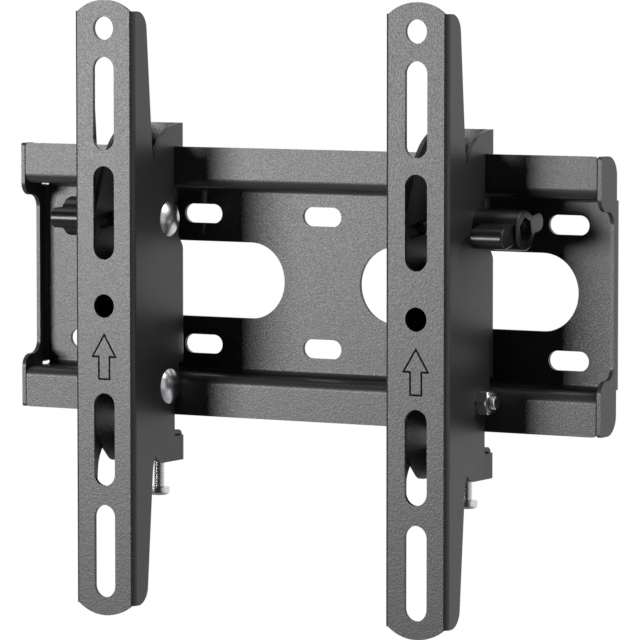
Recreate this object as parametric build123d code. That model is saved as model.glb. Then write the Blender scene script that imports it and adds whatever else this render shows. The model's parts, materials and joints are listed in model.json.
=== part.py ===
# Tilting wall bracket for a small flat television.
# X runs along the wall plate, Y=0 is the wall, the bracket stands out towards -Y, Z is up.
# The origin is the centre of the wall plate's back face. All sizes are in millimetres.

import math
import os

from build123d import *

# Sheet steel
SHEET = 1.5                    # thickness of every folded part
CLEAR = 0.3                    # gap left beside a moving or nested sheet

# Wall plate
PLATE_WIDTH = 240.0
PLATE_HEIGHT = 98.0            # over the two rails
RAIL_DEPTH = 16.3              # front of the rails from the wall
RECESS_HEIGHT = 68.2           # between the two ledges
PLATE_BEND = 2.0               # inside bend radius
RAIL_END_GAP = 0.4             # between a rail's end and the end flange
RAIL_CORNER = 1.5
WEB_SLOT_LENGTH = 16.0
WEB_SLOT_WIDTH = 7.0
WEB_SLOT_PITCH = 50.0          # five columns of wall-screw slots
WEB_SLOT_ROW = 24.0            # rows above and below the middle
OPENING_LENGTH = 88.2
OPENING_HEIGHT = 27.8
OPENING_GAP = 31.3             # between the two large openings
END_SHALLOW = 6.2              # depth of an end flange at mid height
END_SHALLOW_HALF = 25.0        # half height of the shallow stretch
EAR_BACK = 4.1                 # back edge of an ear from the wall
EAR_CORNER = 7.0
EAR_CURVE = 4.6                # radii of the S between the ear and the shallow stretch
END_FOLD_HALF = 33.2           # half height over which the end flange is folded from the web
RELIEF_RADIUS = 0.9            # round corner reliefs at the ends of that fold

# Arms that the television is screwed to
ARM_SPACING = 128.0
ARM_LENGTH = 222.5
ARM_WIDTH = 25.0
ARM_FRONT = 48.0               # front face from the wall
ARM_MIDDLE_Z = -8.7
ARM_BEND = 0.6
TIP_RISE = 4.05                # rounded tip beyond the folded sides
TIP_HALF_WIDTH = 11.0
HOLE_RADIUS = 4.25
TOP_HOLE_Z = 101.1             # hole and slot centres from the arm's middle
MIDDLE_HOLE_Z = 1.1
ARM_SLOT_WIDTH = 8.8
ARM_SLOT_LENGTH = 33.7
ARM_SLOT_Z = (74.0, 34.7, -47.3, -87.9)
SIDE_TIP = 9.0                 # depth of an arm's side at its ends
SIDE_WAIST = 13.4              # and where the taper meets the wide middle
SIDE_NECK = 20.0               # beside the top rail
WAIST_HALF = 56.0

# Hook brackets
HOOK_FRONT = 40.0
HOOK_TOP = 57.5
HOOK_BOTTOM = 66.0             # below the plate's middle
HOOK_BEND = 1.0
EAR_ARC = 20.4                 # radius between the ear's top and that front
EAR_CORNER_Y = -25.5           # where the ear's top would meet its sloping front
EAR_SLOPE = 23.4               # degrees of that front from upright
MOUTH_BACK_GAP = 0.3           # behind the rail, inside the mouth
HANG_GAP = 0.1                 # roof of the mouth above the rail's edge
SLANT_LOW = 9.9                # slanted edge in the recess, between the ledge and the middle
SLANT_HIGH = 20.5
STEP_LOW = -30.0               # foot of the stretch that stands in the recess
HOOK_TIP_RISE = 2.2            # hook's tip above the ledge
FRONT_FOOT = -54.0             # where the front edge turns to the tab
LUG_TOP = 55.0                 # top of the screw lug, below the plate's middle

# Tilt hinge and clamp
PIVOT_Z = -38.0
CLAMP_RISE = 61.0              # clamp bolt above the pivot
TILT_MAX = 10.0                # degrees, top of the arm forwards
BOLT_RADIUS = 2.5
RUNNING_FIT = 0.08
BOLT_PLAY = 0.1                # round the bolts in the arm's holes
BOLT_HEAD_RADIUS = 6.4
BOLT_HEAD_HEIGHT = 2.7
NECK_SIDE = 5.0                # square neck under a carriage-bolt head
NUT_FLATS = 8.0
NUT_HEIGHT = 4.0
LOCK_COLLAR = 1.0              # round collar of the locking nut
INSERT_RADIUS = 3.1            # nylon ring held by that collar
INSERT_LENGTH = 1.4
PIVOT_BOLT_END = 6.4           # bolt end beyond the arm's side

# Tension knob
KNOB_GAP = 0.2                 # foot from the arm's side
KNOB_TURN = (0.0, 11.0)        # wings at rest, degrees below straight ahead
KNOB_LENGTH = 17.3
KNOB_HUB_RADIUS = 7.15
LOBE_RADIUS = 3.7
LOBE_REACH = 12.6              # lobe centre from the axis
LOBE_START = 3.4
LOBE_END = 16.0
POCKET_DEPTH = 9.0
CLAMP_BOLT_REACH = 14.0        # clamp-bolt end beyond the knob's foot

# Safety screw
SCREW_RADIUS = 2.0
SCREW_HEAD_RADIUS = 3.8
SCREW_HEAD_HEIGHT = 2.8
SCREW_HEAD_Z = (-76.5, -74.3)  # underside of the head as left: left, right
SCREW_OFFSET = 1.4             # beside the bracket's middle
SCREW_LENGTH = 25.0
SCREW_SIDE_GAP = 0.25          # between the shank and the sheet before and behind it
THREAD_FIT = 0.05

# Values that follow
ARM_FOLD_HALF = ARM_LENGTH / 2 - TIP_RISE
BOLT_HOLE = BOLT_RADIUS + BOLT_PLAY
PIVOT_Y = -(RAIL_DEPTH + CLEAR + BOLT_HEAD_RADIUS)
HOOK_BACK = RAIL_DEPTH - 2 * SHEET - 2 * (SCREW_RADIUS + SCREW_SIDE_GAP)
HALF_WIDTH = PLATE_WIDTH / 2
HALF_HEIGHT = PLATE_HEIGHT / 2
LEDGE = RECESS_HEIGHT / 2
RAIL_LENGTH = PLATE_WIDTH - 2 * (SHEET + RAIL_END_GAP)
PLATE_MID_BEND = PLATE_BEND + SHEET / 2
RAIL_FACE = RAIL_DEPTH + CLEAR + 0.1
SIDE_WIDE = ARM_FRONT - RAIL_FACE
HOOK_WIDTH = ARM_WIDTH - 2 * (SHEET + CLEAR)
SCREW_Y = -(RAIL_DEPTH - SHEET + HOOK_BACK + SHEET) / 2
CLAMP_Z = PIVOT_Z + CLAMP_RISE
SIDES = {"left": -1, "right": 1}


def sheet_section(points, mid_radius):
    """Section of a folded sheet: the middle line of the sheet, given its thickness."""
    line = FilletPolyline(*points, radius=mid_radius)
    return trace(line, line_width=SHEET)


def outline(corners):
    """Closed outline with a radius at each corner, from (a, b, radius) triples."""
    points = [(a, b) for a, b, _ in corners]
    return make_face(FilletPolyline(*points, radius=[r for _, _, r in corners], close=True))


def along_x(sketch, low, high):
    """Extrude a (Y, Z) sketch from one X to another."""
    return extrude(Plane.YZ.offset(low) * sketch, high - low)


def along_y(sketch, front, back):
    """Extrude an (X, Z) sketch from one distance in front of the wall to another."""
    return extrude(Plane.XZ.offset(back) * sketch, front - back)


def cylinder_x(radius, low, high, y, z):
    return along_x(Pos(y, z) * Circle(radius), low, high)


def rail_channel():
    """Web, two ledges and two rails: one bent section along the plate."""
    web, rail, ledge = SHEET / 2, RAIL_DEPTH - SHEET / 2, LEDGE + SHEET / 2
    points = [(-rail, HALF_HEIGHT), (-rail, ledge), (-web, ledge)]
    points += [(-web, -ledge), (-rail, -ledge), (-rail, -HALF_HEIGHT)]
    channel = along_x(sheet_section(points, PLATE_MID_BEND), -RAIL_LENGTH / 2, RAIL_LENGTH / 2)
    tips = [e for e in channel.edges().filter_by(Axis.Y) if abs(abs(e.center().Z) - HALF_HEIGHT) < 0.01]
    return fillet(tips, RAIL_CORNER)


def end_outline():
    """Side view of the two end flanges: deep ears, a shallow middle and the fold to the web."""
    step, ear, low = END_FOLD_HALF, HALF_HEIGHT, END_SHALLOW_HALF
    deep = low + 2 * EAR_CURVE
    upper = [(0, step, 0.3), (-EAR_BACK, step, 0.3), (-EAR_BACK, ear, EAR_CORNER),
             (-RAIL_DEPTH, ear, 1.0), (-RAIL_DEPTH, (low + deep) / 2, EAR_CURVE),
             (-END_SHALLOW, (low + deep) / 2, EAR_CURVE)]
    lower = [(y, -z, r) for y, z, r in reversed(upper)]
    return outline(upper + lower)


def wall_plate():
    """The wall plate: a pressed channel with flanged ends, punched for wall screws."""
    bend_zone = HALF_WIDTH - SHEET - PLATE_BEND
    channel = rail_channel()
    across = HALF_WIDTH - SHEET / 2
    points = [(-across, -RAIL_DEPTH), (-across, -SHEET / 2), (across, -SHEET / 2), (across, -RAIL_DEPTH)]
    ends = extrude(sheet_section(points, PLATE_MID_BEND), HALF_HEIGHT, both=True)
    ends &= along_x(end_outline(), -HALF_WIDTH, HALF_WIDTH)
    corner = Box(HALF_WIDTH, 4 * SHEET, 2 * END_FOLD_HALF)
    ends -= Box(2 * bend_zone, 2 * RAIL_DEPTH, 2 * PLATE_HEIGHT)
    for side in (-1, 1):
        channel -= Pos(side * (bend_zone + HALF_WIDTH / 2), 0, 0) * corner
    plate = channel + ends
    return plate - plate_cuts()


def plate_cuts():
    """Wall-screw slots, the two large openings and the round corner reliefs."""
    cuts = Sketch()
    for column in (-2, -1, 0, 1, 2):
        for row in (-1, 1):
            spot = Pos(column * WEB_SLOT_PITCH, row * WEB_SLOT_ROW)
            cuts += spot * SlotOverall(WEB_SLOT_LENGTH, WEB_SLOT_WIDTH)
    for side in (-1, 1):
        middle = (OPENING_GAP + OPENING_LENGTH) / 2
        cuts += Pos(side * middle, 0) * SlotOverall(OPENING_LENGTH, OPENING_HEIGHT)
        for row in (-1, 1):
            reach = HALF_WIDTH - SHEET - RELIEF_RADIUS / 2
            spot = Pos(side * reach, row * (END_FOLD_HALF + RELIEF_RADIUS / 2))
            cuts += spot * Circle(RELIEF_RADIUS)
    return along_y(cuts, 3 * SHEET, -SHEET)


def arm_side_outline():
    """Side view of an arm's folded sides: tapered ends, a neck by the top rail, a wide middle."""
    def y(depth):
        return depth - ARM_FRONT
    m = ARM_MIDDLE_Z
    neck_low, neck_high = LEDGE - 4.0, LEDGE + 6.2
    pivot_low = PIVOT_Z - 2.0
    corners = [
        (y(0), m + ARM_FOLD_HALF, 0.2), (y(SIDE_TIP), m + ARM_FOLD_HALF, 6.5),
        (y(SIDE_WAIST), m + WAIST_HALF - 1.5, 6.0), (y(SIDE_NECK), neck_high, 3.5),
        (y(SIDE_NECK), neck_low, 2.5), (y(SIDE_WIDE), neck_low - 2.5, 3.0),
        (y(SIDE_WIDE), pivot_low, 5.0), (y(SIDE_WAIST), m - WAIST_HALF, 12.0),
        (y(SIDE_TIP), m - ARM_FOLD_HALF, 6.5), (y(0), m - ARM_FOLD_HALF, 0.2)]
    return outline(corners)


def arm_front_outline():
    """Front view of an arm's face beyond the folds: shallow round tips."""
    half, fold, tip = TIP_HALF_WIDTH, ARM_FOLD_HALF, ARM_LENGTH / 2
    sides = [Line((side * half, -fold), (side * half, fold)) for side in (-1, 1)]
    tips = [ThreePointArc((-half, end * fold), (0, end * tip), (half, end * fold)) for end in (-1, 1)]
    return Pos(0, ARM_MIDDLE_Z) * make_face(sides + tips)


def arm_holes():
    """Screw holes and slots in the arm's face."""
    holes = Sketch()
    for z in (TOP_HOLE_Z, MIDDLE_HOLE_Z):
        holes += Pos(0, ARM_MIDDLE_Z + z) * Circle(HOLE_RADIUS)
    for z in ARM_SLOT_Z:
        holes += Pos(0, ARM_MIDDLE_Z + z) * Rot(0, 0, 90) * SlotOverall(ARM_SLOT_LENGTH, ARM_SLOT_WIDTH)
    return along_y(holes, ARM_FRONT + SHEET, ARM_FRONT - 2 * SHEET)


def arm(side):
    """One arm, centred on X=0: a channel open to the wall, bored for both cross bolts."""
    across, front = ARM_WIDTH / 2 - SHEET / 2, ARM_FRONT - SHEET / 2
    points = [(-across, 0), (-across, -front), (across, -front), (across, 0)]
    folded = extrude(sheet_section(points, ARM_BEND + SHEET / 2), 2 * ARM_LENGTH, both=True)
    folded &= along_x(arm_side_outline(), -ARM_WIDTH / 2, ARM_WIDTH / 2)
    body = folded + along_y(arm_front_outline(), ARM_FRONT, ARM_FRONT - SHEET) - arm_holes()
    for z in (PIVOT_Z, CLAMP_Z):
        body -= cylinder_x(BOLT_HOLE, -ARM_WIDTH, ARM_WIDTH, PIVOT_Y, z)
        square = Pos(PIVOT_Y, z) * Rectangle(NECK_SIDE + 0.2, NECK_SIDE + 0.2)
        low, high = sorted((0, -side * ARM_WIDTH))
        body -= along_x(square, low, high)
    return body


def hook_outline():
    """Side view of a hook bracket: ear, mouth over the rail, middle in the recess, lower tab."""
    back, face = -HOOK_BACK, -RAIL_FACE
    mouth_back = -(RAIL_DEPTH - SHEET - MOUTH_BACK_GAP)
    roof, hook_tip = HALF_HEIGHT + HANG_GAP, LEDGE + SHEET + HOOK_TIP_RISE
    elbow = HOOK_TOP - (HOOK_FRONT + EAR_CORNER_Y) / math.tan(math.radians(EAR_SLOPE))
    tab = -(LUG_TOP + SHEET + 0.5)
    corners = [
        (back, HOOK_TOP, 1.5), (EAR_CORNER_Y, HOOK_TOP, EAR_ARC), (-HOOK_FRONT, elbow, 10.0),
        (-HOOK_FRONT, FRONT_FOOT, 6.0), (-27.0, -HOOK_BOTTOM, 6.0), (back, -HOOK_BOTTOM, 1.0),
        (back, tab, 0.6), (face, tab, 1.0), (face, STEP_LOW, 1.0), (back, STEP_LOW, 1.0),
        (back, SLANT_LOW, 1.0), (face, SLANT_HIGH, 3.0), (face, roof, 0.3), (mouth_back, roof, 0.3),
        (mouth_back, hook_tip, 1.0), (back, hook_tip, 1.0)]
    return outline(corners)


def tilt_slot():
    """Arc slot for the clamp bolt, swung about the pivot."""
    margin = math.degrees((BOLT_RADIUS + CLEAR) / CLAMP_RISE) / 4
    arc = CenterArc((0, 0), CLAMP_RISE, 90 - margin, TILT_MAX + 2 * margin)
    return Pos(PIVOT_Y, PIVOT_Z) * SlotArc(arc, 2 * (BOLT_RADIUS + 0.2))


def screw_lug():
    """Sheet tongue curled forward from the tab's web, tapped for the safety screw."""
    web, top = -(HOOK_BACK + SHEET / 2), -(LUG_TOP + SHEET / 2)
    points = [(web, -HOOK_BOTTOM + SHEET), (web, top), (SCREW_Y - 8.0, top)]
    half = HOOK_WIDTH / 2 - SHEET - 0.2
    return along_x(sheet_section(points, HOOK_BEND + SHEET / 2), -half, half)


def hook_bracket():
    """One hook bracket, centred on X=0: a channel open to the front that nests in the arm."""
    across, back = HOOK_WIDTH / 2 - SHEET / 2, HOOK_BACK + SHEET / 2
    points = [(-across, -ARM_FRONT), (-across, -back), (across, -back), (across, -ARM_FRONT)]
    folded = extrude(sheet_section(points, HOOK_BEND + SHEET / 2), 2 * HOOK_TOP, both=True)
    body = folded & along_x(hook_outline(), -HOOK_WIDTH / 2, HOOK_WIDTH / 2)
    body += screw_lug()
    body -= along_x(tilt_slot(), -ARM_WIDTH, ARM_WIDTH)
    body -= cylinder_x(BOLT_RADIUS + RUNNING_FIT, -ARM_WIDTH, ARM_WIDTH, PIVOT_Y, PIVOT_Z)
    tapped = Cylinder(SCREW_RADIUS + THREAD_FIT, 8 * SHEET)
    return body - Pos(SCREW_OFFSET, SCREW_Y, -LUG_TOP) * tapped


def carriage_bolt(end_x):
    """Carriage bolt along +X: domed head outside the arm's -X side, square neck, plain shank."""
    face = -ARM_WIDTH / 2
    rise, reach = BOLT_HEAD_HEIGHT, BOLT_HEAD_RADIUS
    dome = make_face([Line((0, 0), (0, reach)), Line((0, 0), (-rise, 0)),
                      ThreePointArc((-rise, 0), (-rise * 0.76, reach * 0.55), (0, reach))])
    head = Pos(face, 0, 0) * revolve(dome, Axis.X)
    neck = Pos(face + SHEET / 2, 0, 0) * Box(SHEET, NECK_SIDE, NECK_SIDE)
    shank = Pos(face, 0, 0) * Rot(0, 90, 0) * Cylinder(
        BOLT_RADIUS, end_x - face, align=(Align.CENTER, Align.CENTER, Align.MIN))
    bolt = head + neck + shank
    tip = bolt.edges().filter_by(GeomType.CIRCLE).sort_by(Axis.X)[-1]
    return chamfer(tip, 0.5)


def hex_nut():
    """Hexagon nut along +X from X=0, chamfered at both faces."""
    body = extrude(Plane.YZ * RegularPolygon(NUT_FLATS / 2, 6, major_radius=False), NUT_HEIGHT)
    cone = Pos(NUT_HEIGHT / 2, 0, 0) * Rot(0, 90, 0) * Cylinder(NUT_FLATS / 2 * 1.12, NUT_HEIGHT)
    body &= chamfer(cone.edges().filter_by(GeomType.CIRCLE), 0.4)
    return body - cylinder_x(BOLT_RADIUS + THREAD_FIT, -1, 2 * NUT_HEIGHT, 0, 0)


def locking_nut():
    """Hexagon nut with a round collar that holds the nylon ring."""
    end = NUT_HEIGHT + LOCK_COLLAR
    collar = cylinder_x(NUT_FLATS / 2 * 0.86, NUT_HEIGHT - 0.5, end, 0, 0)
    collar -= cylinder_x(BOLT_RADIUS + THREAD_FIT, 0, end, 0, 0)
    seat = cylinder_x(INSERT_RADIUS, end - 0.2 - INSERT_LENGTH, end - 0.2, 0, 0)
    return hex_nut() + collar - seat


def nut_insert():
    """Nylon ring inside the locking nut's collar."""
    end = NUT_HEIGHT + LOCK_COLLAR - 0.2
    ring = cylinder_x(INSERT_RADIUS, end - INSERT_LENGTH, end, 0, 0)
    return ring - cylinder_x(BOLT_RADIUS, 0, 2 * end, 0, 0)


def tension_knob():
    """Two-winged knob along +X from X=0: turned hub, a lobe at each side, hexagon pocket."""
    hub = cylinder_x(KNOB_HUB_RADIUS, 0, KNOB_LENGTH, 0, 0)
    wings = along_x(SlotOverall(2 * (LOBE_REACH + LOBE_RADIUS), 2 * LOBE_RADIUS), LOBE_START, LOBE_END)
    wings = fillet(wings.faces().sort_by(Axis.X)[0].edges() + wings.faces().sort_by(Axis.X)[-1].edges(), 0.6)
    body = hub + wings
    rims = body.edges().filter_by(GeomType.CIRCLE).group_by(Axis.X)
    body = fillet(rims[-1], 0.6)
    pocket = Plane.YZ.offset(KNOB_LENGTH) * Rot(0, 0, 90) * RegularPolygon(
        NUT_FLATS / 2 + 0.15, 6, major_radius=False)
    body -= extrude(pocket, -POCKET_DEPTH)
    return body - cylinder_x(BOLT_RADIUS + THREAD_FIT + 0.05, -1, KNOB_LENGTH, 0, 0)


def safety_screw():
    """Pan-head screw that points up, with its head's underside at Z=0."""
    head = Cylinder(SCREW_HEAD_RADIUS, SCREW_HEAD_HEIGHT, align=(Align.CENTER, Align.CENTER, Align.MAX))
    head = fillet(head.edges().filter_by(GeomType.CIRCLE).sort_by(Axis.Z)[0], 1.2)
    shank = Cylinder(SCREW_RADIUS, SCREW_LENGTH, align=(Align.CENTER, Align.CENTER, Align.MIN))
    shank = chamfer(shank.edges().filter_by(GeomType.CIRCLE).sort_by(Axis.Z)[-1], 0.5)
    return head + shank


def outward(shape, side):
    """Turn a part that points along +X so that it points away from the plate's middle."""
    return shape if side > 0 else Rot(0, 0, 180) * shape


def assembly_parts(name, side):
    """Every part of one arm assembly, at its place on the plate."""
    middle = side * ARM_SPACING / 2
    index = 0 if side < 0 else 1
    turn = KNOB_TURN[index]
    clamp_end = ARM_WIDTH / 2 + KNOB_GAP + CLAMP_BOLT_REACH
    nut_seat = KNOB_LENGTH - POCKET_DEPTH
    spin = Rot(turn, 0, 0)
    at_pivot, at_clamp = Pos(middle, PIVOT_Y, PIVOT_Z), Pos(middle, PIVOT_Y, CLAMP_Z)
    outer = ARM_WIDTH / 2
    foot = Pos(side * (outer + KNOB_GAP), 0, 0)
    nut_face = Pos(side * outer, 0, 0)
    knob = spin * outward(tension_knob(), side)
    knob_nut = spin * outward(Pos(nut_seat, 0, 0) * Rot(90, 0, 0) * hex_nut(), side)
    return {
        name + "_arm": Pos(middle, 0, 0) * arm(side),
        name + "_hook_bracket": Pos(middle, 0, 0) * hook_bracket(),
        name + "_pivot_bolt": at_pivot * outward(carriage_bolt(outer + PIVOT_BOLT_END), side),
        name + "_pivot_nut": at_pivot * nut_face * outward(locking_nut(), side),
        name + "_nut_insert": at_pivot * nut_face * outward(nut_insert(), side),
        name + "_clamp_bolt": at_clamp * outward(carriage_bolt(clamp_end), side),
        name + "_tension_knob": at_clamp * foot * knob,
        name + "_knob_nut": at_clamp * foot * knob_nut,
        name + "_safety_screw": Pos(middle + SCREW_OFFSET, SCREW_Y, SCREW_HEAD_Z[index]) * safety_screw(),
    }


def main():
    os.makedirs("parts", exist_ok=True)
    parts = {"wall_plate": wall_plate()}
    for name, side in SIDES.items():
        parts.update(assembly_parts(name, side))
    for name, shape in parts.items():
        export_step(shape, f"parts/{name}.step")


main()
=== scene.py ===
"""Looks of a tilting television wall mount.

Coated steel, plated and threaded fasteners, moulded knobs, up arrows and a white studio.
"""

import json
import math

import bmesh
import bpy
from mathutils import Matrix, Vector


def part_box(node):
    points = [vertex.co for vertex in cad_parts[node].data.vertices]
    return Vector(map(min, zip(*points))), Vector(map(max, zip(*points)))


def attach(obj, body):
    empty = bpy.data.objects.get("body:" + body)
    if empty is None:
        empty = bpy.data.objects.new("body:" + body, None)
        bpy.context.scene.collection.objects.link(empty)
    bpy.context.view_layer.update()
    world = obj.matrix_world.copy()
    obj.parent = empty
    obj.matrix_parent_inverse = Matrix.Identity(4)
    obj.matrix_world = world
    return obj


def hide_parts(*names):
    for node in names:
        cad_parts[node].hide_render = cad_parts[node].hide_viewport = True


bl_info = {
    "name": "Tilting TV Mount",
    "version": (1, 0, 0),
    "blender": (4, 5, 0),
    "location": "3D View > Sidebar > TV Mount",
    "description": "Finishes, threaded fasteners, arrows and studio for a tilting television wall mount",
    "category": "Object",
}

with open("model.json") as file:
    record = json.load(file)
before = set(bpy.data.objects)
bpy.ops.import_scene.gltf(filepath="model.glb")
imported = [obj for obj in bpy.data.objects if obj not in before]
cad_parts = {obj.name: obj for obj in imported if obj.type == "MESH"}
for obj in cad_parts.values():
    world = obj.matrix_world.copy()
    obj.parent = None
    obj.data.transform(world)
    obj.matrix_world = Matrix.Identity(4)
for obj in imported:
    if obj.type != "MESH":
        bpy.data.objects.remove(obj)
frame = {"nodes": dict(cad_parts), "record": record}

MM = 0.001
SIDES = {"left": -1, "right": 1}

# The photograph's view
PHOTO_AZIMUTH = math.radians(29.7)
PHOTO_ELEVATION = math.radians(4.44)
PHOTO_DISTANCE = 1.7814
PHOTO_TARGET = Vector((-0.00171, 0, -0.01349))
PHOTO_LENS = 276.2
SENSOR_WIDTH = 36.0

# Softboxes: where each one stands, and its width and height, in metres
KEY_PLACE = Vector((-0.97, -1.5, 0.04))
KEY_SIZE = (0.68, 0.4)
FILL_PLACE = Vector((0.85, 0.05, 0.95))
FILL_SIZE = (0.5, 0.5)
TOP_PLACE = Vector((-0.5, 0.0, 0.9))
TOP_SIZE = (0.4, 0.4)

# Where reflections meet the white backdrop: behind the mount and to its right. The floor's ramp is in
# metres and the surround's is a share of the way.
BACKDROP_WAY = (0.6, 0.8, 0.0)
FLOOR_RAMP = (0.3, 2.0)
SURROUND_RAMP = (-0.1, 0.3)
FLOOR_HALF = 30.0
FLOOR_GREY = (0.8, 0.8, 0.8, 1)
FLOOR_ROUGHNESS = 0.9

# Thread form: the ridge's height, and along one turn the foot, crest and foot again, as shares of the pitch
THREAD_DEPTH = 0.55
FLANK_FOOT = 0.12
CREST_START = 0.45
CREST_END = 0.6
FLANK_END = 0.93

# Carriage bolts, M5. The dome is a hair taller than the solid's, so that its rim closes on the arm.
BOLT_RADIUS = 2.5 * MM
BOLT_SHANK_RADIUS = 2.4 * MM
DOME_RISE = 2.706 * MM
DOME_RADIUS = 6.4 * MM
DOME_RIM = 0.001 * MM
DOME_STEPS = 12
NECK_SIDE = 5.0 * MM
NECK_LENGTH = 1.5 * MM
SHANK_END = 4.8 * MM
BOLT_THREAD_START = 4.6 * MM

# Safety screws, M4
SCREW_RADIUS = 2.0 * MM
SCREW_HEAD_HEIGHT = 2.8 * MM
SCREW_HEAD_ROUNDING = 1.3 * MM
SCREW_THREAD_START = 2.75 * MM
ROUNDING_STEPS = 6
CROSS_TAPER = 0.55

# A thread stops this far short of the solid's end
THREAD_END_GAP = 0.01 * MM

# Most of a noise lies between these
NOISE_LOW = 0.3
NOISE_HIGH = 0.7

# The specks are this many times finer than the grain
SPECK_RATIO = 2.3
GRAIN_RELIEF = 0.08 * MM


# Meshes

def grown(name, bm, body, material, smooth_angle=math.radians(40)):
    """Turn a finished bmesh into an object that rides on a body."""
    mesh = bpy.data.meshes.new(name)
    bm.to_mesh(mesh)
    bm.free()
    piece = bpy.data.objects.new(name, mesh)
    bpy.context.scene.collection.objects.link(piece)
    mesh.materials.append(material)
    mesh.shade_smooth()
    mesh.set_sharp_from_angle(angle=smooth_angle)
    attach(piece, body)
    return piece


def body_with(node):
    """Name of the body that holds a node."""
    for body, members in frame["record"]["behaviour"]["bodies"].items():
        if node in members:
            return body
    raise RuntimeError(f"no body holds {node}")


def turned(bm, profile, steps=48):
    """Spin a line of (radius, height) points round Z into a closed solid."""
    verts = [bm.verts.new((r, 0, z)) for r, z in profile]
    edges = [bm.edges.new(pair) for pair in zip(verts, verts[1:])]
    bmesh.ops.spin(bm, geom=verts + edges, cent=(0, 0, 0), axis=(0, 0, 1), dvec=(0, 0, 0),
                   angle=2 * math.pi, steps=steps, use_merge=True, use_normal_flip=False,
                   use_duplicate=False)
    bmesh.ops.remove_doubles(bm, verts=bm.verts[:], dist=1e-6)


def thread(bm, radius, pitch, low, high, steps=20):
    """A helical thread round Z between two heights, closed at both ends."""
    own = bmesh.new()
    root = radius - THREAD_DEPTH * pitch
    start = low - 2 * pitch
    turns = math.ceil((high - start) / pitch) + 1
    ridge = ((root, 0), (root, FLANK_FOOT), (radius, CREST_START), (radius, CREST_END),
             (root, FLANK_END), (root, 1))
    verts = [own.verts.new((r, 0, start + share * pitch)) for r, share in ridge]
    edges = [own.edges.new(pair) for pair in zip(verts, verts[1:])]
    bmesh.ops.spin(own, geom=verts + edges, cent=(0, 0, 0), axis=(0, 0, 1),
                   dvec=(0, 0, pitch / steps), angle=2 * math.pi * turns, steps=steps * turns,
                   use_merge=False, use_normal_flip=False, use_duplicate=False)
    bmesh.ops.remove_doubles(own, verts=own.verts[:], dist=1e-6)
    for height, outwards in ((low, -1), (high, 1)):
        everything = own.verts[:] + own.edges[:] + own.faces[:]
        bmesh.ops.bisect_plane(own, geom=everything, dist=1e-7, plane_co=(0, 0, height),
                               plane_no=(0, 0, outwards), clear_outer=True, clear_inner=False)
    bmesh.ops.holes_fill(own, edges=[e for e in own.edges if e.is_boundary], sides=0)
    for vert in own.verts:
        reach = Vector((vert.co.x, vert.co.y)).length
        limit = root + high - vert.co.z
        if reach > limit:
            bmesh.ops.scale(own, vec=(limit / reach, limit / reach, 1), verts=[vert])
    bmesh.ops.recalc_face_normals(own, faces=own.faces[:])
    joined(bm, own)


def joined(bm, other):
    """Move everything of one bmesh into another."""
    mesh = bpy.data.meshes.new("joining")
    other.to_mesh(mesh)
    other.free()
    bm.from_mesh(mesh)
    bpy.data.meshes.remove(mesh)


def along(bm, side, centre):
    """Lay a piece made round +Z along X, away from the plate's middle, and put it in place."""
    turn = Matrix.Rotation(side * math.pi / 2, 4, "Y")
    bmesh.ops.transform(bm, matrix=Matrix.Translation(centre) @ turn, verts=bm.verts[:])


def centre_of(node):
    """Middle of a node's box."""
    low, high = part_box(node)
    return (Vector(low) + Vector(high)) / 2


# Finishes

def new_group(name, inputs, outputs):
    """An empty shader node group with its sockets."""
    group = bpy.data.node_groups.new(name, "ShaderNodeTree")
    for label, kind, default in inputs:
        socket = group.interface.new_socket(label, in_out="INPUT", socket_type=kind)
        if default is not None:
            socket.default_value = default
    for label, kind in outputs:
        group.interface.new_socket(label, in_out="OUTPUT", socket_type=kind)
    return group, group.nodes.new("NodeGroupInput"), group.nodes.new("NodeGroupOutput")


def noise(tree, vector, scale, detail):
    """A noise texture read at a vector, with its scale from a socket."""
    node = tree.nodes.new("ShaderNodeTexNoise")
    node.inputs["Detail"].default_value = detail
    tree.links.new(vector, node.inputs["Vector"])
    tree.links.new(scale, node.inputs["Scale"])
    return node.outputs["Fac"]


def spread(tree, value, low, high):
    """Map the middle of a noise onto a range."""
    node = tree.nodes.new("ShaderNodeMapRange")
    node.inputs["From Min"].default_value = NOISE_LOW
    node.inputs["From Max"].default_value = NOISE_HIGH
    node.inputs["To Min"].default_value = low
    node.inputs["To Max"].default_value = high
    tree.links.new(value, node.inputs["Value"])
    return node.outputs["Result"]


def grain_group():
    """Fine grain shared by coat, plating and plastic: a height and a finer speckle."""
    if "Fine Grain" in bpy.data.node_groups:
        return bpy.data.node_groups["Fine Grain"]
    group, entry, leave = new_group(
        "Fine Grain",
        [("Vector", "NodeSocketVector", None), ("Grain Scale", "NodeSocketFloat", 1500.0)],
        [("Height", "NodeSocketFloat"), ("Speckle", "NodeSocketFloat")])
    height = noise(group, entry.outputs["Vector"], entry.outputs["Grain Scale"], detail=2.0)
    group.links.new(height, leave.inputs["Height"])
    finer = group.nodes.new("ShaderNodeMath")
    finer.operation = "MULTIPLY"
    finer.inputs[1].default_value = SPECK_RATIO
    group.links.new(entry.outputs["Grain Scale"], finer.inputs[0])
    speckle = noise(group, entry.outputs["Vector"], finer.outputs["Value"], detail=1.0)
    group.links.new(speckle, leave.inputs["Speckle"])
    return group


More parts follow.
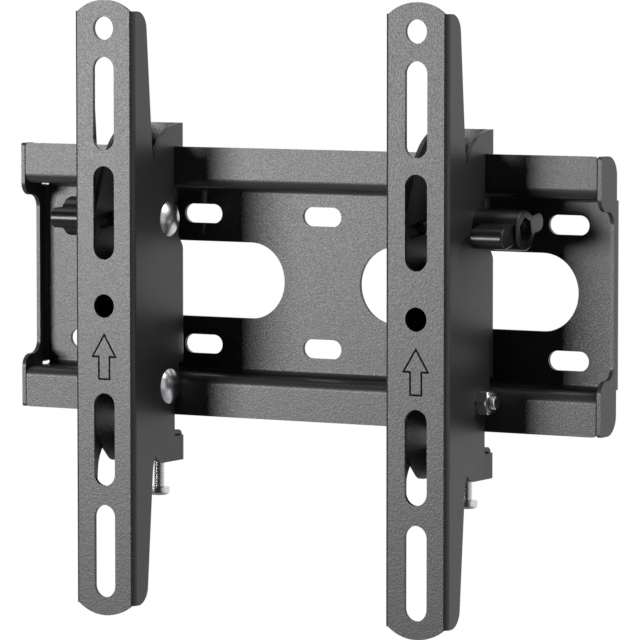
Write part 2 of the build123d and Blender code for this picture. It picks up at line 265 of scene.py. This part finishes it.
def finish(name, colour, roughness, metallic, grain_scale, bump, tone=0.12, gloss=0.01, shine=0.5):
    """A finish with fine grain: lighter specks are glossier and the surface is bumped."""
    material = bpy.data.materials.new(name)
    material.use_nodes = True
    tree = material.node_tree
    shader = tree.nodes["Principled BSDF"]
    shader.inputs["Metallic"].default_value = metallic
    shader.inputs["Specular IOR Level"].default_value = shine
    place = tree.nodes.new("ShaderNodeTexCoord")
    grain = tree.nodes.new("ShaderNodeGroup")
    grain.node_tree = grain_group()
    grain.inputs["Grain Scale"].default_value = grain_scale
    tree.links.new(place.outputs["Object"], grain.inputs["Vector"])
    shade = tree.nodes.new("ShaderNodeMix")
    shade.data_type = "RGBA"
    shade.inputs["A"].default_value = [c * (1 - tone) for c in colour[:3]] + [1]
    shade.inputs["B"].default_value = [c * (1 + tone) for c in colour[:3]] + [1]
    tree.links.new(spread(tree, grain.outputs["Speckle"], 0, 1), shade.inputs["Factor"])
    tree.links.new(shade.outputs["Result"], shader.inputs["Base Color"])
    tree.links.new(spread(tree, grain.outputs["Speckle"], roughness + gloss, roughness - gloss),
                   shader.inputs["Roughness"])
    relief = tree.nodes.new("ShaderNodeBump")
    relief.inputs["Strength"].default_value = bump
    relief.inputs["Distance"].default_value = GRAIN_RELIEF
    tree.links.new(grain.outputs["Height"], relief.inputs["Height"])
    tree.links.new(relief.outputs["Normal"], shader.inputs["Normal"])
    return material


def finishes():
    """The record's material slots and the finish of each, made once."""
    look = bpy.context.scene.mount_finishes
    looks = {
        "powder_coat": dict(name="Powder coat", colour=look.coat_colour, roughness=look.coat_roughness,
                            metallic=0.0, grain_scale=1300, bump=0.65, tone=0.3, gloss=0.05),
        "zinc": dict(name="Bright zinc", colour=look.zinc_colour, roughness=look.zinc_roughness,
                     metallic=1.0, grain_scale=900, bump=0.1),
        "knob_plastic": dict(name="Moulded black", colour=look.knob_colour,
                             roughness=look.knob_roughness, metallic=0.0, grain_scale=2500, bump=0.15),
        "nylon": dict(name="Nylon", colour=look.nylon_colour, roughness=look.nylon_roughness,
                      metallic=0.0, grain_scale=2500, bump=0.1),
    }
    return {slot: bpy.data.materials.get(values["name"]) or finish(**values)
            for slot, values in looks.items()}


# Settings

class MountFinishes(bpy.types.PropertyGroup):
    """Colours and gloss of the mount."""
    coat_colour: bpy.props.FloatVectorProperty(
        name="Coat", description="Colour of the powder coat", subtype="COLOR", size=3,
        min=0, max=1, default=(0.05, 0.051, 0.053))
    coat_roughness: bpy.props.FloatProperty(
        name="Coat roughness", description="Roughness of the powder coat", min=0, max=1,
        subtype="FACTOR", default=0.38)
    zinc_colour: bpy.props.FloatVectorProperty(
        name="Zinc", description="Colour of the plated fasteners", subtype="COLOR", size=3,
        min=0, max=1, default=(0.64, 0.65, 0.67))
    zinc_roughness: bpy.props.FloatProperty(
        name="Zinc roughness", description="Roughness of the plating", min=0, max=1,
        subtype="FACTOR", default=0.3)
    knob_colour: bpy.props.FloatVectorProperty(
        name="Knob", description="Colour of the moulded knobs", subtype="COLOR", size=3,
        min=0, max=1, default=(0.014, 0.014, 0.015))
    knob_roughness: bpy.props.FloatProperty(
        name="Knob roughness", description="Roughness of the knobs", min=0, max=1,
        subtype="FACTOR", default=0.3)
    nylon_colour: bpy.props.FloatVectorProperty(
        name="Nylon", description="Colour of the locking rings", subtype="COLOR", size=3,
        min=0, max=1, default=(0.6, 0.61, 0.58))
    nylon_roughness: bpy.props.FloatProperty(
        name="Nylon roughness", description="Roughness of the locking rings", min=0, max=1,
        subtype="FACTOR", default=0.45)
    # Painted shade: the arrows' line gets a dark colour that stands in for the shade in the groove stamped
    # into the real arm.
    arrow_groove_shade: bpy.props.FloatVectorProperty(
        name="Arrow", description="Colour of the arrows' line", subtype="COLOR", size=3,
        min=0, max=1, default=(0.008, 0.008, 0.009))
    arrow_roughness: bpy.props.FloatProperty(
        name="Arrow roughness", description="Roughness of the arrows' line", min=0, max=1,
        subtype="FACTOR", default=0.7)


class FastenerSizes(bpy.types.PropertyGroup):
    """Threads and drives of the fasteners."""
    bolt_pitch: bpy.props.FloatProperty(
        name="Bolt pitch", description="Thread pitch of the M5 bolts", unit="LENGTH", default=0.8 * MM)
    screw_pitch: bpy.props.FloatProperty(
        name="Screw pitch", description="Thread pitch of the M4 safety screws", unit="LENGTH",
        default=0.7 * MM)
    drive_width: bpy.props.FloatProperty(
        name="Drive width", description="Width across the cross recess", unit="LENGTH",
        default=4.2 * MM)
    drive_slot: bpy.props.FloatProperty(
        name="Drive slot", description="Width of one arm of the cross recess", unit="LENGTH",
        default=0.8 * MM)
    drive_depth: bpy.props.FloatProperty(
        name="Drive depth", description="Depth of the cross recess", unit="LENGTH",
        default=1.5 * MM)


class ArrowSizes(bpy.types.PropertyGroup):
    """The plain up arrow marked on each arm."""
    top: bpy.props.FloatProperty(
        name="Top", description="Height of the arrow's tip", unit="LENGTH", default=-17.3 * MM)
    shoulder: bpy.props.FloatProperty(
        name="Shoulder", description="Height of the arrow head's corners", unit="LENGTH",
        default=-26.3 * MM)
    foot: bpy.props.FloatProperty(
        name="Foot", description="Height of the stem's foot", unit="LENGTH", default=-34.4 * MM)
    head_half: bpy.props.FloatProperty(
        name="Head", description="Half the width of the head", unit="LENGTH", default=5.5 * MM)
    stem_half: bpy.props.FloatProperty(
        name="Stem", description="Half the width of the stem", unit="LENGTH", default=2.6 * MM)
    line: bpy.props.FloatProperty(
        name="Line", description="Width of the line", unit="LENGTH", default=0.7 * MM)
    relief: bpy.props.FloatProperty(
        name="Relief", description="How far the line stands off the arm", unit="LENGTH",
        default=0.03 * MM)


class StageSizes(bpy.types.PropertyGroup):
    """Floor and lights."""
    floor_height: bpy.props.FloatProperty(
        name="Floor", description="Height of the floor", unit="LENGTH", default=-1.2)
    key_power: bpy.props.FloatProperty(
        name="Key", description="Power of the large front softbox, in watts", default=21.0)
    fill_power: bpy.props.FloatProperty(
        name="Fill", description="Power of the side softbox, in watts", default=6.0)
    top_power: bpy.props.FloatProperty(
        name="Top", description="Power of the overhead softbox, in watts", default=0.8)
    surround: bpy.props.FloatProperty(
        name="Surround", description="Brightness of the studio walls", min=0, max=1, default=0.01)


# Operators

class MOUNT_OT_finish_frame(bpy.types.Operator):
    """Give every part of the mount its coat, plating or plastic"""
    bl_idname = "mount.finish_frame"
    bl_label = "Finish Frame"

    def execute(self, context):
        looks = finishes()
        for row in frame["record"]["subparts"]:
            node = frame["nodes"][row["node"]]
            for place in node.material_slots:
                place.material = looks[row["material_slot"]]
            if not node.material_slots:
                node.data.materials.append(looks[row["material_slot"]])
        return {"FINISHED"}


class MOUNT_OT_thread_bolts(bpy.types.Operator):
    """Make the carriage bolts of the pivots and knobs, with rolled threads"""
    bl_idname = "mount.thread_bolts"
    bl_label = "Carriage Bolts"

    def execute(self, context):
        sizes = context.scene.mount_fasteners
        zinc = finishes()["zinc"]
        for name, side in SIDES.items():
            for use in ("pivot", "clamp"):
                node = f"{name}_{use}_bolt"
                low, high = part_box(node)
                length = high[0] - low[0]
                middle = centre_of(node)
                bm = bmesh.new()
                self.head(bm)
                thread(bm, BOLT_RADIUS, sizes.bolt_pitch, BOLT_THREAD_START, length - THREAD_END_GAP)
                start = Vector((low[0] if side > 0 else high[0], middle.y, middle.z))
                along(bm, side, start)
                bolt = grown(f"{name}_{use}_carriage_bolt", bm, body_with(node), zinc)
                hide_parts(node)
        return {"FINISHED"}

    def head(self, bm):
        """Domed head, square neck and the plain stretch of the shank."""
        sphere = (DOME_RISE * DOME_RISE + DOME_RADIUS * DOME_RADIUS) / (2 * DOME_RISE)
        widest = math.asin(DOME_RADIUS / sphere)
        angles = [widest * step / DOME_STEPS for step in range(DOME_STEPS + 1)]
        dome = [(sphere * math.sin(a), sphere - sphere * math.cos(a)) for a in angles]
        rim = DOME_RISE + DOME_RIM
        turned(bm, dome + [(DOME_RADIUS, rim), (0, rim)])
        neck = bmesh.ops.create_cube(bm, size=1.0)["verts"]
        bmesh.ops.scale(bm, vec=(NECK_SIDE, NECK_SIDE, NECK_LENGTH), verts=neck)
        bmesh.ops.translate(bm, vec=(0, 0, DOME_RISE + NECK_LENGTH / 2), verts=neck)
        own = bmesh.new()
        shank = [(0, DOME_RISE), (BOLT_SHANK_RADIUS, DOME_RISE), (BOLT_SHANK_RADIUS, SHANK_END),
                 (0, SHANK_END)]
        turned(own, shank, steps=32)
        joined(bm, own)
        bmesh.ops.recalc_face_normals(bm, faces=bm.faces[:])


class MOUNT_OT_cut_safety_screws(bpy.types.Operator):
    """Make the safety screws, with a cross recess and a thread"""
    bl_idname = "mount.cut_safety_screws"
    bl_label = "Safety Screws"

    def execute(self, context):
        sizes = context.scene.mount_fasteners
        zinc = finishes()["zinc"]
        for name in SIDES:
            node = f"{name}_safety_screw"
            low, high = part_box(node)
            middle = centre_of(node)
            radius = (high[0] - low[0]) / 2
            bm = bmesh.new()
            self.pan_head(bm, radius, sizes)
            thread(bm, SCREW_RADIUS, sizes.screw_pitch, SCREW_THREAD_START,
                   high[2] - low[2] - THREAD_END_GAP)
            bmesh.ops.translate(bm, vec=(middle.x, middle.y, low[2]), verts=bm.verts[:])
            screw = grown(f"{name}_cross_head_screw", bm, body_with(node), zinc)
            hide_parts(node)
        return {"FINISHED"}

    def pan_head(self, bm, radius, sizes):
        """Pan head seen from below, with a tapered cross sunk into its flat."""
        edge = SCREW_HEAD_ROUNDING
        angles = [math.pi / 2 * step / ROUNDING_STEPS for step in range(ROUNDING_STEPS + 1)]
        rim = [(radius - edge + edge * math.sin(a), edge - edge * math.cos(a)) for a in angles]
        turned(bm, rim + [(radius, SCREW_HEAD_HEIGHT), (0, SCREW_HEAD_HEIGHT)])
        flat = [e for e in bm.edges if e.is_boundary]
        mouth = self.cross_loop(bm, sizes)
        bmesh.ops.triangle_fill(bm, edges=flat + mouth, use_beauty=True, use_dissolve=False,
                                normal=(0, 0, -1))
        floor = bmesh.ops.extrude_edge_only(bm, edges=mouth)["geom"]
        verts = [v for v in floor if isinstance(v, bmesh.types.BMVert)]
        bmesh.ops.scale(bm, vec=(CROSS_TAPER, CROSS_TAPER, 1), verts=verts)
        bmesh.ops.translate(bm, vec=(0, 0, sizes.drive_depth), verts=verts)
        bmesh.ops.edgenet_fill(bm, edges=[e for e in floor if isinstance(e, bmesh.types.BMEdge)])
        bmesh.ops.recalc_face_normals(bm, faces=bm.faces[:])

    def cross_loop(self, bm, sizes):
        """Closed line of edges round a level cross at the head's flat."""
        reach, half = sizes.drive_width / 2, sizes.drive_slot / 2
        arm = [(reach, -half), (reach, half), (half, half)]
        corners = []
        for quarter in range(4):
            turn = Matrix.Rotation(quarter * math.pi / 2, 2)
            corners += [turn @ Vector(corner) for corner in arm]
        verts = [bm.verts.new((c.x, c.y, 0)) for c in corners]
        return [bm.edges.new((a, b)) for a, b in zip(verts, verts[1:] + verts[:1])]


class MOUNT_OT_mark_arrows(bpy.types.Operator):
    """Mark the plain up arrow on the face of each arm"""
    bl_idname = "mount.mark_arrows"
    bl_label = "Up Arrows"

    def execute(self, context):
        sizes = context.scene.mount_arrows
        look = context.scene.mount_finishes
        # The arrow's line is a dark, matte, almost flush strip: painted shade of the groove stamped into
        # the real arm.
        material = bpy.data.materials.get("Arrow groove shade") or finish(
            name="Arrow groove shade", colour=look.arrow_groove_shade, roughness=look.arrow_roughness, metallic=0.0,
            grain_scale=1700, bump=0.3, shine=0.1)
        for name in SIDES:
            low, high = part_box(f"{name}_arm")
            middle = (low[0] + high[0]) / 2
            outer = self.corners(sizes)
            bm = bmesh.new()
            verts = [bm.verts.new((middle + x, low[1], z)) for x, z in outer]
            face = bm.faces.new(verts)
            face.normal_update()
            bmesh.ops.inset_region(bm, faces=[face], thickness=sizes.line, depth=0,
                                   use_boundary=True, use_even_offset=True)
            bmesh.ops.delete(bm, geom=[face], context="FACES_ONLY")
            ring = bm.faces[:]
            lifted = bmesh.ops.extrude_face_region(bm, geom=ring)["geom"]
            moved = [v for v in lifted if isinstance(v, bmesh.types.BMVert)]
            bmesh.ops.translate(bm, vec=(0, -sizes.relief, 0), verts=moved)
            bmesh.ops.recalc_face_normals(bm, faces=bm.faces[:])
            arrow = grown(f"{name}_up_arrow", bm, body_with(f"{name}_arm"), material)
        return {"FINISHED"}

    def corners(self, sizes):
        """Outline of the arrow, tip first."""
        right = [(sizes.head_half, sizes.shoulder), (sizes.stem_half, sizes.shoulder),
                 (sizes.stem_half, sizes.foot)]
        return [(0, sizes.top)] + right + [(-x, z) for x, z in reversed(right)]


class MOUNT_OT_set_stage(bpy.types.Operator):
    """Set the white studio: floor, softboxes, surround and the photograph's camera"""
    bl_idname = "mount.set_stage"
    bl_label = "Studio"

    def execute(self, context):
        scene = context.scene
        sizes = scene.mount_stage
        self.floor(scene, sizes.floor_height)
        self.surround(scene, sizes.surround)
        self.softbox("Key softbox", KEY_PLACE, KEY_SIZE, sizes.key_power)
        self.softbox("Fill softbox", FILL_PLACE, FILL_SIZE, sizes.fill_power)
        self.softbox("Top softbox", TOP_PLACE, TOP_SIZE, sizes.top_power)
        self.camera(scene)
        scene.view_settings.view_transform = "Standard"
        return {"FINISHED"}

    def floor(self, scene, height):
        """A plain pale floor that looks white from the camera."""
        bm = bmesh.new()
        bmesh.ops.create_grid(bm, x_segments=1, y_segments=1, size=FLOOR_HALF)
        bmesh.ops.translate(bm, vec=(0, 0, height), verts=bm.verts[:])
        mesh = bpy.data.meshes.new("studio_floor")
        bm.to_mesh(mesh)
        bm.free()
        plane = bpy.data.objects.new("studio_floor", mesh)
        scene.collection.objects.link(plane)
        material = bpy.data.materials.new("Studio floor")
        material.use_nodes = True
        tree = material.node_tree
        shader = tree.nodes["Principled BSDF"]
        shader.inputs["Base Color"].default_value = FLOOR_GREY
        shader.inputs["Roughness"].default_value = FLOOR_ROUGHNESS
        glow = tree.nodes.new("ShaderNodeEmission")
        glow.inputs["Color"].default_value = (1, 1, 1, 1)
        mix = tree.nodes.new("ShaderNodeMixShader")
        place = tree.nodes.new("ShaderNodeTexCoord").outputs["Object"]
        white = self.seen_white(tree, self.behind(tree, place, FLOOR_RAMP))
        tree.links.new(white, mix.inputs["Fac"])
        tree.links.new(shader.outputs["BSDF"], mix.inputs[1])
        tree.links.new(glow.outputs["Emission"], mix.inputs[2])
        tree.links.new(mix.outputs["Shader"], tree.nodes["Material Output"].inputs["Surface"])
        mesh.materials.append(material)

    def behind(self, tree, vector, ramp_ends):
        """Rises from 0 to 1 towards the back and the right, so that only there reflections are white."""
        towards = tree.nodes.new("ShaderNodeVectorMath")
        towards.operation = "DOT_PRODUCT"
        towards.inputs[1].default_value = BACKDROP_WAY
        tree.links.new(vector, towards.inputs[0])
        ramp = tree.nodes.new("ShaderNodeMapRange")
        ramp.inputs["From Min"].default_value, ramp.inputs["From Max"].default_value = ramp_ends
        tree.links.new(towards.outputs["Value"], ramp.inputs["Value"])
        return ramp.outputs["Result"]

    def seen_white(self, tree, behind):
        """1 for rays from the camera or through glass, and for mirror rays that meet the backdrop."""
        path = tree.nodes.new("ShaderNodeLightPath")
        mirrored = tree.nodes.new("ShaderNodeMath")
        mirrored.operation = "MULTIPLY"
        tree.links.new(path.outputs["Is Glossy Ray"], mirrored.inputs[0])
        tree.links.new(behind, mirrored.inputs[1])
        total = path.outputs["Is Camera Ray"]
        for other in (path.outputs["Is Transmission Ray"], mirrored.outputs["Value"]):
            larger = tree.nodes.new("ShaderNodeMath")
            larger.operation = "MAXIMUM"
            tree.links.new(total, larger.inputs[0])
            tree.links.new(other, larger.inputs[1])
            total = larger.outputs["Value"]
        return total

    def surround(self, scene, strength):
        """Dim studio walls that look white from the camera and in mirrored rays towards the backdrop."""
        world = bpy.data.worlds.new("Studio surround")
        scene.world = world
        world.use_nodes = True
        tree = world.node_tree
        glow = tree.nodes["Background"]
        glow.inputs["Color"].default_value = (1, 1, 1, 1)
        level = tree.nodes.new("ShaderNodeMapRange")
        level.inputs["To Min"].default_value = strength
        level.inputs["To Max"].default_value = 1.0
        way = tree.nodes.new("ShaderNodeTexCoord").outputs["Generated"]
        white = self.seen_white(tree, self.behind(tree, way, SURROUND_RAMP))
        tree.links.new(white, level.inputs["Value"])
        tree.links.new(level.outputs["Result"], glow.inputs["Strength"])

    def softbox(self, name, place, size, power):
        """A soft area light aimed at the middle of the mount's back."""
        lamp = bpy.data.lights.new(name, "AREA")
        lamp.shape = "RECTANGLE"
        lamp.size, lamp.size_y = size
        lamp.energy = power
        box = bpy.data.objects.new(name, lamp)
        box.location = place
        box.rotation_euler = (-place).to_track_quat("-Z", "Y").to_euler()
        bpy.context.scene.collection.objects.link(box)

    def camera(self, scene):
        """The photograph's camera."""
        back = Vector((math.sin(PHOTO_AZIMUTH) * math.cos(PHOTO_ELEVATION),
                       -math.cos(PHOTO_AZIMUTH) * math.cos(PHOTO_ELEVATION),
                       math.sin(PHOTO_ELEVATION)))
        lens = bpy.data.cameras.new("Photograph camera")
        lens.lens = PHOTO_LENS
        lens.sensor_width = SENSOR_WIDTH
        lens.clip_start = 0.05
        lens.clip_end = 100
        eye = bpy.data.objects.new("Photograph camera", lens)
        eye.location = PHOTO_TARGET + PHOTO_DISTANCE * back
        eye.rotation_euler = (-back).to_track_quat("-Z", "Y").to_euler()
        scene.collection.objects.link(eye)
        scene.camera = eye


class MOUNT_PT_panel(bpy.types.Panel):
    """The mount's settings and steps"""
    bl_label = "TV Mount"
    bl_idname = "MOUNT_PT_panel"
    bl_space_type = "VIEW_3D"
    bl_region_type = "UI"
    bl_category = "TV Mount"

    def draw(self, context):
        scene = context.scene
        for group in SETTINGS:
            settings = getattr(scene, group)
            box = self.layout.box()
            for name in settings.__annotations__:
                box.prop(settings, name)
        for step in STEPS:
            self.layout.operator(step.bl_idname)


STEPS = (MOUNT_OT_finish_frame, MOUNT_OT_thread_bolts, MOUNT_OT_cut_safety_screws,
         MOUNT_OT_mark_arrows, MOUNT_OT_set_stage)
SETTINGS = {"mount_finishes": MountFinishes, "mount_fasteners": FastenerSizes,
            "mount_arrows": ArrowSizes, "mount_stage": StageSizes}
CLASSES = tuple(SETTINGS.values()) + STEPS + (MOUNT_PT_panel,)


def register():
    for cls in CLASSES:
        bpy.utils.register_class(cls)
    for name, settings in SETTINGS.items():
        setattr(bpy.types.Scene, name, bpy.props.PointerProperty(type=settings))


def unregister():
    for name in SETTINGS:
        delattr(bpy.types.Scene, name)
    for cls in reversed(CLASSES):
        bpy.utils.unregister_class(cls)


def main():
    register()
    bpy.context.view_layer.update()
    bpy.ops.mount.finish_frame()
    bpy.ops.mount.thread_bolts()
    bpy.ops.mount.cut_safety_screws()
    bpy.ops.mount.mark_arrows()
    bpy.ops.mount.set_stage()


if __name__ == "__main__":
    main()
